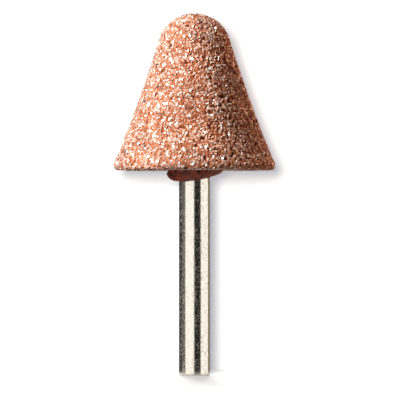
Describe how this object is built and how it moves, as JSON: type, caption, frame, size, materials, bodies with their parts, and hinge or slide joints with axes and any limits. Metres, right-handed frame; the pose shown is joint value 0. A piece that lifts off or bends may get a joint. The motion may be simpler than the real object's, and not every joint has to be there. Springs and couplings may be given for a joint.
{
  "type": "mounted point",
  "caption": "Bell-shaped pink aluminium oxide grinding stone cemented on a plain steel shank for a small rotary tool.",
  "frame": {"origin": "centre of the flat free end of the shank", "axes": "+Z along the shank's axis, from its free end to the stone's nose; -X toward the thick side of the cement bead"},
  "size_m": [0.0166, 0.0166, 0.0371],
  "materials": {
    "abrasive": "matte",
    "steel": "ground",
    "cement": "satin"
  },
  "bodies": {
    "root": {"abrasive_head": "abrasive", "shank": "steel", "bonding_cement": "cement"}
  },
  "joints": []
}
